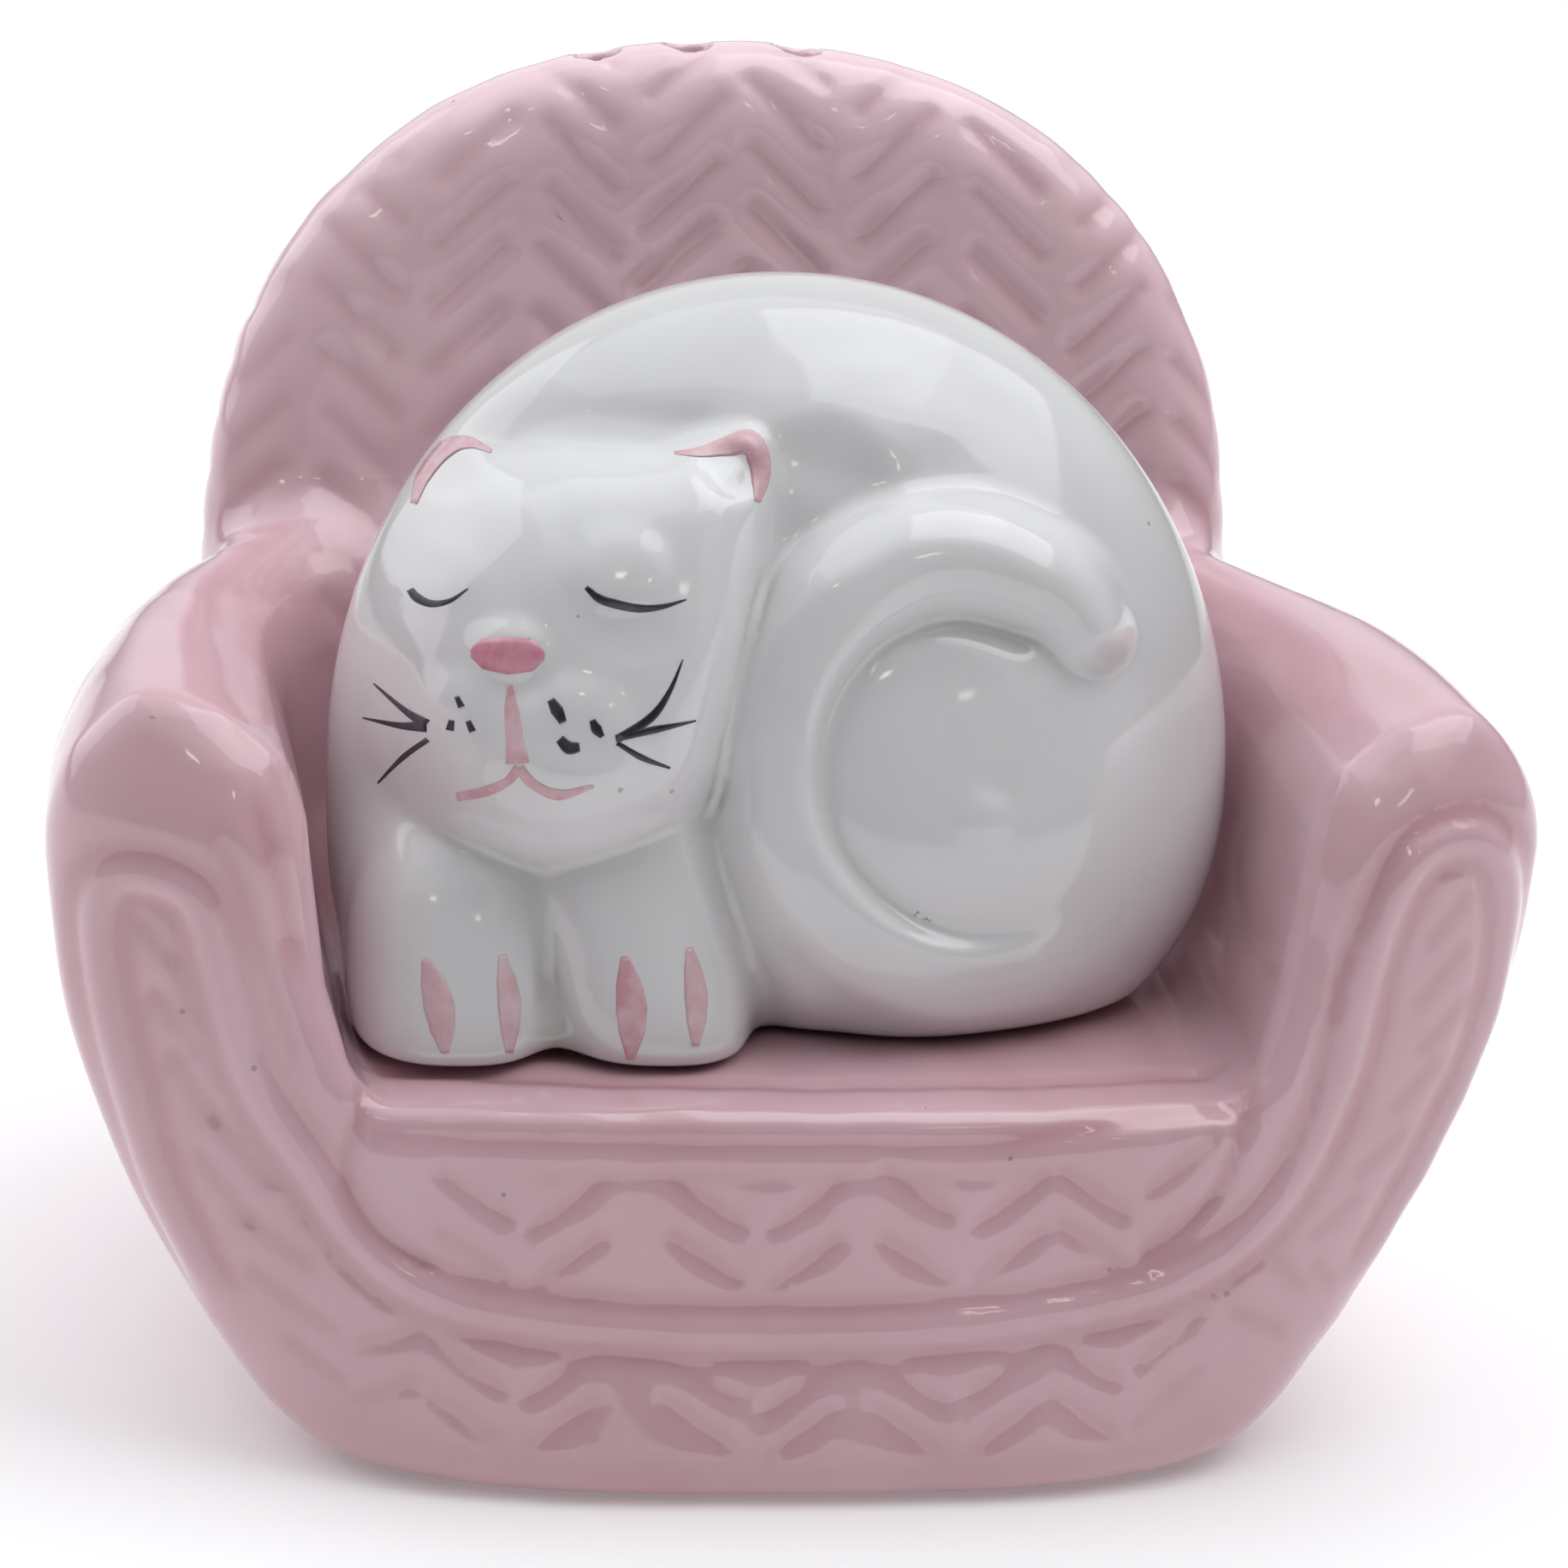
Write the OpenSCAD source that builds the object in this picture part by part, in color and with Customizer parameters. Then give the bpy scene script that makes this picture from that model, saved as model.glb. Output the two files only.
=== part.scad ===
// Nesting shaker pair: a curled-up sleeping cat that sits in the seat of a
// tub armchair. Both are hollow slip-cast ceramic, each closed by its own
// soft stopper under the base. Millimetres, +Z up, the chair faces -Y.

/* [Chair] */
// Overall width across the arms; everything else keeps its proportion to it
chair_w = 102.2; // [92:0.1:112]
// Thickness of the cast wall
wall = 3.2; // [2.6:0.1:3.8]
// Height of the seat cushion's top face above the table
seat_h = 27; // [24:0.5:30]
// Half width of the arched back
back_half_w = 38.3; // [36:0.1:40]
// Rise of the arch above its springing line
back_rise = 38; // [34:0.5:42]

/* [Pouring and filling] */
// Radius of each pour hole in the top of the back
pour_r = 1.45; // [0.8:0.05:2]
// Radius of the filling hole in the chair's base
fill_r = 7.5; // [6:0.1:8.5]
// Radius of the filling hole in the cat's base
cat_fill_r = 5.5; // [4.5:0.1:6]
// Running clearance around the chair's stopper
plug_clear = 0.05; // [0.02:0.01:0.1]

/* [Cat] */
// Half width of the sleeping cat
cat_half_w = 31.8; // [29:0.1:31.9]
// Angle by which the cat leans back
cat_lean = 17; // [12:1:18]
// Gap between the cat's foot and the cushion
cat_gap = 0.35; // [0.3:0.05:1]

/* [Hidden] */

k = chair_w / 102.2;        // scale of the whole pair
pink = [0.80, 0.66, 0.71];
white = [0.93, 0.93, 0.92];
plug_white = [0.86, 0.85, 0.82];

// ---------------------------------------------------------------- helpers
// signed power, the building block of superellipses
function sp(v, e) = sign(v) * pow(max(abs(v), 1e-9), e);
function mix(a, b, t) = a + (b - a) * t;
function clampf(v, a, b) = max(a, min(b, v));

function rev(v) = [for (i = [len(v) - 1 : -1 : 0]) v[i]];

// A closed solid from rings of equal length, capped at both ends.
module loft(rings) {
    n = len(rings[0]);
    m = len(rings);
    pts = [for (r = rings) for (p = r) p];
    sides = [for (i = [0 : m - 2]) for (j = [0 : n - 1])
        let (a = i * n + j, b = i * n + (j + 1) % n, c = (i + 1) * n + (j + 1) % n, d = (i + 1) * n + j)
        each [[a, c, b], [a, d, c]]];
    polyhedron(points = pts, convexity = 8,
        faces = concat([[for (j = [0 : n - 1]) j]], sides, [[for (j = [n - 1 : -1 : 0]) (m - 1) * n + j]]));
}

// ------------------------------------------------------------- chair form
w_top = 51.1;   // half width at the widest level of the arms
w_foot = 33.2;  // half width at the foot
z_wide = 43.6;  // height of the widest level
z_arm = 53.8;   // top of the arms
y_mid = -23;    // plan centre line of the outline
n_plan = 60;    // points around one plan outline

// how far the tub has still to swell at height z, 1 at the foot and 0 at the arms
function swell(z) = pow(max(0, z_wide - z) / z_wide, 2);

// one plan outline of the tub at height z, pulled in by d
function tub_ring(z, d, zz, n = n_plan) =
    let (g = swell(z), a = mix(w_top, w_foot, g) - d,
         f = max(mix(34.3, 39.86, g) - d, 0.8 - y_mid), b = mix(38.9, 33, g) - d,
         nf = mix(2.5, 3, g), nr = mix(2.0, 2.3, g))
    [for (i = [0 : n - 1]) let (t = 360 * i / n, c = cos(t), s = sin(t))
        s < 0 ? [a * sp(c, 2 / nf), y_mid + (f + y_mid) * sp(s, 2 / nf), zz]
              : [a * sp(c, 2 / nr), y_mid + (b - y_mid) * sp(s, 2 / nr), zz]];

// [height, pull-in] pairs up the outside of the tub, over a rounded foot and
// rounded arm tops
tub_steps = concat(
    [for (t = [90 : -22.5 : 0]) [4 * (1 - sin(t)), 3.6 * (1 - cos(t))]],
    [for (z = [9 : 7 : 41]) [z, 0]],
    [for (t = [10 : 16 : 90]) [z_arm - 11.5 + 11.5 * sin(t), 10 * (1 - cos(t))]]);

module tub(t, lift) {
    loft([for (s = tub_steps)
        tub_ring(s[0], s[1] + t, lift + s[0] * (z_arm - lift - t) / z_arm, t > 0 ? 36 : n_plan)]);
}

// depth of the arched back behind its front face, against pull-in from the rim
back_steps = [[12, 0], [6, 0], [3.2, 0.6], [1.2, 2], [0, 5.5], [0.6, 10], [2.6, 13.4], [6.5, 16.4], [13, 19], [24, 20.6]];
z_spring = 48;
back_y = 16.5;
back_lean = 5.6;

function back_front(z) = back_y + back_lean * (z - z_spring) / 38;
module arched_back(t) {
    n_back = t > 0 ? 32 : 56;
    loft([for (s = rev(back_steps)) let (q = 1 - (s[0] + t) / back_half_w)
        [for (i = [0 : n_back - 1])
            let (a = 360 * i / n_back, c = cos(a), v = sin(a),
                 e = v >= 0 ? 2.25 : 6,
                 x = back_half_w * q * sp(c, 2 / e),
                 z = z_spring + (v >= 0 ? back_rise : 36) * q * sp(v, 2 / e),
                 th = mix(21, 16.2, clampf((z - z_spring) / back_rise, 0, 1)) / 20.6)
            [x, back_front(z) + t + s[1] * th * (1 - 2 * t / 20.6), z]]]);
}

// the space over the seat: between the arms, in front of the back
function seat_ring(z, hw, t) =
    let (a = hw + t, rear = back_front(z) - (z < seat_h + 1 ? 2 : 0) + t)
    concat([[-a, -70, z], [a, -70, z]],
        [for (i = [0 : 20]) let (q = 180 * i / 20)
            [a * sp(cos(q), 0.5), -12 + (rear + 12) * sp(sin(q), 0.5), z]]);
// [height above the cushion, half width]
seat_steps = [[0, 29.4], [2, 30.8], [7, 32.4], [13, 33.2], [18, 33.9], [22, 35.2], [25, 37.4], [z_arm - 27 + 0.2, 41.3]];
module seat_space(t) {
    loft([for (i = [0 : len(seat_steps) - 1]) let (s = seat_steps[i])
        seat_ring(i == 0 ? seat_h - t : seat_h + s[0], s[1], t)]);
}

// cross-section of the cushion, seen from the front
module cushion_outline(g) {
    offset(r = 7 + g, $fn = 32) translate([-22.8, 20.3]) square([45.6, 18]);
}
// grooves that set the cushion off from the arms and the front panel
module cushion_grooves() {
    intersection() {
        translate([0, -12, 0]) rotate([90, 0, 0]) linear_extrude(height = 40)
            difference() { cushion_outline(0.7); cushion_outline(-0.7); }
        difference() {
            loft([for (z = [6, 20, 34]) tub_ring(z, -2, z)]);
            loft([for (z = [5, 20, 35]) tub_ring(z, 1.1, z)]);
        }
    }
}

module chair_shell() {
    color(pink)
    difference() {
        resize([chair_w, 0, 0], auto = true)
        difference() {
            union() { tub(0, 0); arched_back(0); }
            seat_space(0);
            cushion_grooves();
            difference() {
                union() { tub(wall, 5); arched_back(wall); }
                seat_space(wall);
            }
            // lets the hollow open downwards before the round hole is bored
            translate([0, 0, -1]) cylinder(r = fill_r - 0.9, h = 12, $fn = 24);
        }
        // shallow recess inside the foot ring
        scale(k) translate([0, 0, -1]) cylinder(r = 21, h = 2.6, $fn = 96);
        // filling hole
        translate([0, 0, -1]) cylinder(r = fill_r, h = 8, $fn = 96);
        // pour holes, punched by hand and so not quite evenly spaced
        for (x = [-10.3, -3.6, 4.5])
            translate([x * k, 28.3 * k, 76 * k]) cylinder(r = pour_r, h = 14, $fn = 48);
    }
}

module chair_stopper() {
    color(plug_white)
    rotate_extrude($fn = 96)
        polygon([[0, 0.9], [3.2, 0.9], [3.2, 0.3], [fill_r + 2.2, 0.3], [fill_r + 2.6, 0.7], [fill_r + 2.6, 1.1],
            [fill_r + 2.3, 1.45 * k], [fill_r - plug_clear, 1.45 * k], [fill_r - plug_clear, 6], [fill_r - 0.7, 6.8],
            [fill_r - 1.7, 6.8], [fill_r - 1.7, 2.6], [0, 2.6]]);
}

// --------------------------------------------------------------- cat form
cat_c = [0.6, -8.2, 43];   // middle of the cat's widest level

// half sizes of the leaning oval: top, bottom, front bulge, back bulge
cat_up = 34;
cat_down = 24;
cat_front = 14.5;
cat_rear = 16;
cat_steps = [[0.08, 1], [0.2, 1], [0.32, 1], [0.43, 1], [0.53, 1], [0.63, 1], [0.72, 1], [0.81, 1], [0.89, 1], [0.95, 1],
             [0.985, 1], [1, 0], [0.975, -1], [0.9, -1], [0.75, -1], [0.5, -1], [0.2, -1]];
// the hollow follows the outside more loosely
hollow_steps = [[0.1, 1], [0.4, 1], [0.65, 1], [0.85, 1], [1, 0], [0.85, -1], [0.6, -1], [0.2, -1]];

// height of a smooth hump with half sizes ru and rv about (a, b)
function hump(u, v, a, b, ru, rv, h) =
    let (d = pow((u - a) / ru, 2) + pow((v - b) / rv, 2)) d < 1 ? h * (1 - d) * (1 - d) * (1 + 2 * d) : 0;
// the tail lies in a ring around the haunch, open at the upper right
function tail_ridge(u, v) =
    let (r = norm([u - 12.5, v - 1]), a = atan2(v - 1, u - 12.5))
    (a > -55 && a < 15) ? 0 : max(0, 2.2 * (1 - pow((r - 15.5) / 3.6, 2)));
// relief on the cat's front: head, muzzle, ears, haunch, paws and tail
function relief(u, v) = max(
    hump(u, v, -16.5, 7.5, 17, 19, 3.4), hump(u, v, -18.5, 2, 11, 9, 4.4),
    hump(u, v, -25, 20, 4.5, 5, 2.4), hump(u, v, -5, 21, 5, 5, 2.6),
    hump(u, v, 12.5, -1, 12, 12, 2.2), tail_ridge(u, v),
    hump(u, v, -22, -15, 7, 13, 2.6), hump(u, v, -9.5, -15, 7, 13, 2.6));

function cat_rings(t) = let (n = t > 0 ? 32 : 64)
    [for (s = t > 0 ? hollow_steps : cat_steps) [for (i = [0 : n - 1])
        let (a = 360 * i / n, c = cos(a), w = sin(a),
             e = w >= 0 ? 2.03 : 3.3,
             u = (cat_half_w - t) * s[0] * sp(c, 2 / e),
             v = ((w >= 0 ? cat_up : cat_down) - t) * s[0] * sp(w, 2 / e),
             dep = s[1] > 0 ? (cat_front - t) * pow(1 - pow(s[0], 2.8), 0.55)
                              + (t > 0 ? 0 : relief(u, v) * (1 - pow(s[0], 6)))
                 : s[1] < 0 ? -(cat_rear - t) * pow(1 - pow(s[0], 3), 0.55) : 0)
        [cat_c[0] + u,
         cat_c[1] + v * sin(cat_lean) - dep * cos(cat_lean),
         cat_c[2] + v * cos(cat_lean) + dep * sin(cat_lean)]]];

module cat_form(t, foot) {
    intersection() {
        loft(rev(cat_rings(t)));
        translate([-60, -60, foot]) cube([120, 120, 100]);
    }
}
cat_foot = seat_h + cat_gap;
cat_w = 2 * cat_half_w;
fill_y = -8;

module cat_shell() {
    color(white)
    difference() {
        resize([cat_w * k, 0, 0], auto = true)
        difference() {
            cat_form(0, cat_foot);
            cat_form(wall, cat_foot + wall + 1);
            translate([0, fill_y, cat_foot - 1]) cylinder(r = cat_fill_r - 0.7, h = 8, $fn = 24);
        }
        translate([0, fill_y * k, cat_foot * k - 1]) cylinder(r = cat_fill_r + 2.8, h = 2.6, $fn = 72);
        translate([0, fill_y * k, cat_foot * k - 1]) cylinder(r = cat_fill_r, h = 8, $fn = 72);
        // two pour holes in the upper back, one beside the other
        for (x = [-3.5, 3.5]) translate([x * k, 6 * k, 66 * k]) rotate([-50, 0, 0])
            translate([0, 0, -8]) cylinder(r = pour_r, h = 16, $fn = 48);
    }
}

module cat_stopper() {
    color(plug_white)
    translate([0, fill_y * k, cat_foot * k])
    rotate_extrude($fn = 72)
        polygon([[0, 0.7], [2.4, 0.7], [2.4, 0.3], [cat_fill_r + 1.9, 0.3], [cat_fill_r + 2.2, 0.6], [cat_fill_r + 2.2, 1.2],
            [cat_fill_r + 1.9, 1.5], [cat_fill_r + 0.03, 1.5], [cat_fill_r + 0.03, 5.2], [cat_fill_r - 0.6, 5.9],
            [cat_fill_r - 1.5, 5.9], [cat_fill_r - 1.5, 2.3], [0, 2.3]]);
}

chair_shell();
chair_stopper();
cat_shell();
cat_stopper();
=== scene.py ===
# Looks of the nesting cat-and-armchair pair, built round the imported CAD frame.
# Shapes are worked out in millimetres and turned into metres when a mesh is made.
import math

import bpy
import numpy as np
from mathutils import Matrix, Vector


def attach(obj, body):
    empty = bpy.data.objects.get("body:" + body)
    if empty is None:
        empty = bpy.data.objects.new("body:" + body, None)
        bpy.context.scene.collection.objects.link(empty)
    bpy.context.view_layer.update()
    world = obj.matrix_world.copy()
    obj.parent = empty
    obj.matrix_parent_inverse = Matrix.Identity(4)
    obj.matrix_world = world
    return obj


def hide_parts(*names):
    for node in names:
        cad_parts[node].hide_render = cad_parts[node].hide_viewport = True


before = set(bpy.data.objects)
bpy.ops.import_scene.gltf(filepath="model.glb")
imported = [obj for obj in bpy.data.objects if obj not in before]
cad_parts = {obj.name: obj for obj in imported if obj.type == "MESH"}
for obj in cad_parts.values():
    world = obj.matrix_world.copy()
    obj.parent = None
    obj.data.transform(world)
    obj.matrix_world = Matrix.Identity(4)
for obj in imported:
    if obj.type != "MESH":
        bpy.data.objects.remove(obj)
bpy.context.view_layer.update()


# ------------------------------------------------------------------ SDF tools
# SDF-BEGIN
def smin(a, b, k):
    h = np.clip(0.5 + 0.5 * (b - a) / k, 0, 1)
    return b * (1 - h) + a * h - k * h * (1 - h)


def smax(a, b, k):
    return -smin(-a, -b, k)


def step01(v, a, b):
    t = np.clip((v - a) / (b - a), 0, 1)
    return t * t * (3 - 2 * t)


def bell(d, w):
    return np.exp(-((d / w) ** 2))


def seg_dist(px, pz, a, b):
    """Distance from points to a segment, and the share along it."""
    ax, az = a
    bx, bz = b
    dx, dz = bx - ax, bz - az
    t = np.clip(((px - ax) * dx + (pz - az) * dz) / (dx * dx + dz * dz + 1e-12), 0, 1)
    return np.hypot(px - ax - t * dx, pz - az - t * dz), t


def smooth_path(points, n=8):
    """Catmull-Rom through given points."""
    p = np.array(points, float)
    p = np.vstack([2 * p[0] - p[1], p, 2 * p[-1] - p[-2]])
    out = []
    t = np.linspace(0, 1, n, endpoint=False)[:, None]
    for i in range(1, len(p) - 2):
        a, b, c, d = p[i - 1], p[i], p[i + 1], p[i + 2]
        out.append(0.5 * (2 * b + (c - a) * t + (2 * a - 5 * b + 4 * c - d) * t**2 + (3 * b - a - 3 * c + d) * t**3))
    out.append(p[-2][None])
    return np.vstack(out)


def path_dist(px, pz, path):
    """Signed distance to a polyline (positive on its left) and the share along it, 0 to 1."""
    best = np.full(px.shape, 1e9)
    share = np.zeros(px.shape)
    side = np.ones(px.shape)
    n = len(path) - 1
    for i in range(n):
        a, b = path[i], path[i + 1]
        d, t = seg_dist(px, pz, a, b)
        m = d < best
        best = np.where(m, d, best)
        share = np.where(m, (i + t) / n, share)
        s = (b[0] - a[0]) * (pz - a[1]) - (b[1] - a[1]) * (px - a[0])
        side = np.where(m, np.where(s >= 0, 1, -1), side)
    return best, share, side


# ------------------------------------------------------------------ the chair
W_TOP, W_FOOT, Z_WIDE, Z_ARM, Y_MID = 51.1, 33.2, 43.6, 53.8, -23.0
SEAT_H, Z_SPRING, BACK_Y, BACK_LEAN = 27.0, 48.0, 16.5, 5.6


def chair_side(x, y, z):
    """About the distance to the tub's side surface."""
    g = ((Z_WIDE - np.clip(z, 0, Z_WIDE)) / Z_WIDE) ** 2
    a = W_TOP + (W_FOOT - W_TOP) * g
    front = y < Y_MID
    bf = 34.3 + 5.56 * g + Y_MID
    br = 38.9 - 5.9 * g - Y_MID
    b = np.where(front, bf, br)
    n = np.where(front, 2.5 + 0.5 * g, 2.0 + 0.3 * g)
    X = np.abs(x) / a + 1e-6
    Y = np.abs(y - Y_MID) / b + 1e-6
    r = (X**n + Y**n) ** (1 / n)
    q = r ** (1 - n)
    gr = np.sqrt((q * X ** (n - 1) / a) ** 2 + (q * Y ** (n - 1) / b) ** 2) + 1e-6
    slope = 2 * (W_TOP - W_FOOT) * np.sqrt(g) / Z_WIDE * np.minimum(X, 1)
    return (r - 1) / gr / np.sqrt(1 + slope**2)


def back_front(z):
    return BACK_Y + BACK_LEAN * (z - Z_SPRING) / 38.0


def corner(a, b, ra, rb, n=2.0):
    """Where a < 0 and b < 0 meet, rounded by a quarter superellipse with half sizes ra and rb."""
    X = np.maximum(a + ra, 0) / ra
    Y = np.maximum(b + rb, 0) / rb
    r = (X**n + Y**n + 1e-12) ** (1 / n)
    q = r ** (1 - n)
    gr = np.sqrt((q * X ** (n - 1) / ra) ** 2 + (q * Y ** (n - 1) / rb) ** 2)
    d = (r - 1) / np.maximum(gr, 0.4 / max(ra, rb))
    return np.where(r < 0.02, np.maximum(a, b), d)


def arch(x, y, z):
    up = np.maximum(z - Z_SPRING, 0) / 38.0
    X = np.abs(x) / 38.3
    n = 2.25
    r = (X**n + up**n) ** (1 / n)
    q = np.maximum(r, 1e-6) ** (1 - n)
    gr = np.sqrt((q * X ** (n - 1) / 38.3) ** 2 + (q * up ** (n - 1) / 38.0) ** 2) + 1e-6
    # below the spring line the slab narrows and ends inside the tub's rear
    dn = np.maximum(Z_SPRING - z, 0) / 36.0
    r3 = np.maximum((X**3 + dn**3) ** (1 / 3), 1e-6)
    g3 = np.sqrt(((X / r3) ** 2 / 38.3) ** 2 + ((dn / r3) ** 2 / 36.0) ** 2) + 1e-6
    d = np.where(z > Z_SPRING, (r - 1) / gr, (r3 - 1) / g3)
    d = np.maximum(d, -30)
    th = 21 - 4.8 * np.clip((z - Z_SPRING) / 38.0, 0, 1)
    f = back_front(z) + 0.4 * bell(x, 26) * bell(z - 60, 26)
    q = (y - f) * 20.6 / th
    front = corner(d, -q, 6.0, 5.5)
    rear = corner(d, q - 20.6, 24.0, 15.1, 2.2)
    return np.maximum(front, rear)


SEAT_Z = [0, 2, 7, 13, 18, 22, 25, 27.2, 34]
SEAT_X = [29.6, 30.9, 32.5, 33.4, 34.1, 35.4, 37.6, 41.4, 52]


def seat_space(x, y, z):
    h = z - SEAT_H
    a = np.interp(h, SEAT_Z, SEAT_X)
    rear = back_front(z) - 2 * (1 - step01(h, 0, 8)) + 12
    X = np.abs(x) / a
    Y = np.maximum(y + 12, 0) / rear
    n = 3.6
    r = (X**n + Y**n) ** (1 / n) + 1e-9
    q = r ** (1 - n)
    gr = np.sqrt((q * X ** (n - 1) / a) ** 2 + (q * Y ** (n - 1) / rear) ** 2) + 1e-6
    d = np.where(y > -12, np.clip((r - 1) / gr, -30, 30), np.abs(x) - a)
    floor = SEAT_H + 0.1 - 0.3 * (x / 30) ** 2
    return smax(d, floor - z, 1.6)


# the raised cord that runs round the arm faces and under the cushion, in x and z
CORD = smooth_path([
    (-38.6, 11.0), (-39.6, 12.4), (-41.3, 15.6), (-43.1, 19.3), (-44.8, 24.0), (-46.3, 29.3), (-47.5, 34.7), (-47.8, 38.6),
    (-47.0, 40.9), (-45.6, 41.7), (-43.1, 41.4), (-41.2, 39.9), (-39.4, 34.2), (-38.0, 30.0), (-36.5, 26.7), (-35.0, 24.6),
    (-32.8, 21.6), (-30.8, 18.7), (-28.4, 16.3), (-25.4, 14.5), (-20.4, 13.2), (-11.2, 12.4), (-1.4, 12.2), (8.6, 12.5),
    (18.0, 13.5), (24.9, 14.9), (29.9, 17.4), (33.2, 20.8), (35.4, 25.1), (37.1, 30.7), (38.0, 36.8), (39.7, 42.6),
    (42.0, 45.0), (45.4, 45.2), (47.7, 43.0), (48.6, 38.4), (48.0, 30.6), (45.5, 24.1), (42.8, 18.7), (40.6, 14.5), (39.2, 12.0)], 4)
# the dark line down each side of the cushion's front
CUSHION_SIDES = [
    smooth_path([(-29.9, 27.4), (-30.6, 25.6), (-31.1, 23.0), (-30.6, 20.4), (-28.6, 17.9), (-25.6, 16.3)], 5),
    smooth_path([(30.0, 28.0), (29.8, 26.0), (29.1, 23.6), (28.1, 21.0), (26.2, 18.9), (23.6, 17.2)], 5)]
# soft folds up the inner edge of the arm faces
FOLDS = [smooth_path([(-41.1, 47.0), (-38.4, 40.5), (-35.4, 32.0), (-33.6, 26.4)], 6),
         smooth_path([(-38.4, 48.6), (-36.1, 41.8), (-34.3, 33.6)], 6),
         smooth_path([(41.6, 47.6), (38.6, 44.0), (36.3, 38.0), (34.9, 31.0), (33.6, 26.0)], 6)]
# nested strokes inside the arm faces, and single strokes beside the panel
ARM_STROKES = [
    ((-45.0, 38.6), (-42.8, 36.4)), ((-42.8, 36.4), (-41.3, 32.8)), ((-45.0, 38.6), (-46.0, 35.6)),
    ((-43.8, 33.8), (-41.0, 29.8)), ((-43.8, 33.8), (-45.2, 30.8)), ((-42.6, 29.4), (-39.6, 25.6)), ((-42.6, 29.4), (-43.9, 26.6)),
    ((-39.8, 25.6), (-36.2, 21.5)), ((-40.6, 22.4), (-37.2, 18.6)), ((-37.6, 18.6), (-33.4, 15.9)), ((-36.7, 14.6), (-31.6, 11.3)),
    ((-34.0, 9.9), (-30.9, 7.7)), ((-29.5, 10.4), (-25.8, 11.8)), ((-29.4, 6.6), (-26.2, 8.2)),
    ((44.6, 41.2), (42.4, 38.4)), ((44.9, 37.6), (42.0, 34.0)), ((45.3, 33.4), (42.6, 30.4)), ((43.6, 29.0), (41.0, 26.4)),
    ((41.6, 24.2), (38.6, 21.6)), ((38.4, 19.6), (35.8, 17.6)), ((32.4, 16.5), (34.9, 14.0)), ((30.4, 12.4), (33.6, 10.6)), ((36.2, 15.0), (38.2, 12.6))]
# herringbone strokes on the cushion's front and the panel below: column centres, alternate slants
FRONT_X = [-22.6, -16.2, -7.0, -0.1, 7.3, 13.9, 19.5, 25.6]
FRONT_ROWS = [([21.4, 20.9, 21.1, 21.0, 21.9, 21.3, 21.6, 23.4], 1.0),
              ([17.2, 17.0, 17.3, 17.0, 17.2, 17.4, 18.1, 19.4], 1.0),
              ([9.6, 9.3, 9.3, 8.4, 8.8, 9.5, 9.9, 11.2], 0.85),
              ([5.9, 5.8, 5.9, 5.3, 5.4, 5.4, 6.1, 6.9], 0.7)]
FRONT_STROKES = []
for zs, strength in FRONT_ROWS:
    for i, (cx, cz) in enumerate(zip(FRONT_X, zs)):
        sx, sz = (2.15, -1.45) if i % 2 == 0 else (2.1, 1.6)
        FRONT_STROKES.append(((cx - sx, cz - sz), (cx + sx, cz + sz), strength))
BACK_COLS = [(-35.5, 72.0, 1), (-27.6, 71.4, -1), (-19.6, 74.6, 1), (-11.8, 74.2, -1), (-4.3, 76.3, 1), (3.3, 77.7, -1),
             (11.4, 75.6, 1), (19.8, 74.9, -1), (28.0, 72.6, 1), (35.8, 72.0, -1)]
BACK_PITCH = 4.65


def back_cut(x, z):
    """Depth of the herringbone on the back's front face, 0 to 1."""
    out = np.zeros(x.shape)
    for cx, cz, s in BACK_COLS:
        near = np.abs(x - cx) < 6
        if not near.any():
            continue
        xx, zz = x[near], z[near]
        k0 = np.round((zz - cz) / BACK_PITCH)
        best = np.full(xx.shape, 9.0)
        for dk in (-1, 0, 1):
            zc = cz + (k0 + dk) * BACK_PITCH
            wob = 0.25 * np.sin(zc * 1.7 + cx)
            dx, dz = 2.45, 2.25 * s
            px, pz = xx - cx - wob, zz - zc
            t = np.clip((px * dx + pz * dz) / (dx * dx + dz * dz), -1, 1)
            best = np.minimum(best, np.hypot(px - t * dx, pz - t * dz))
        out[near] = np.maximum(out[near], bell(best, 0.84))
    return out


def side_cut(x, y, z):
    """The same strokes carried round the outside, by arc length."""
    th = np.arctan2(x, (y + 6))
    s = th * 45.0
    c = np.round(s / 7.9)
    sgn = np.where(np.mod(c, 2) == 0, 1.0, -1.0)
    best = np.full(x.shape, 9.0)
    for dc in (-1, 0, 1):
        cc = c + dc
        sg = np.where(np.mod(cc, 2) == 0, 1.0, -1.0)
        k0 = np.round((z - 1.3) / BACK_PITCH)
        for dk in (-1, 0, 1):
            px = s - cc * 7.9
            pz = z - 1.3 - (k0 + dk) * BACK_PITCH
            dx, dz = 2.4, 1.75 * sg
            t = np.clip((px * dx + pz * dz) / (dx * dx + dz * dz), -1, 1)
            best = np.minimum(best, np.hypot(px - t * dx, pz - t * dz))
    return bell(best, 0.74)


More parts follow.
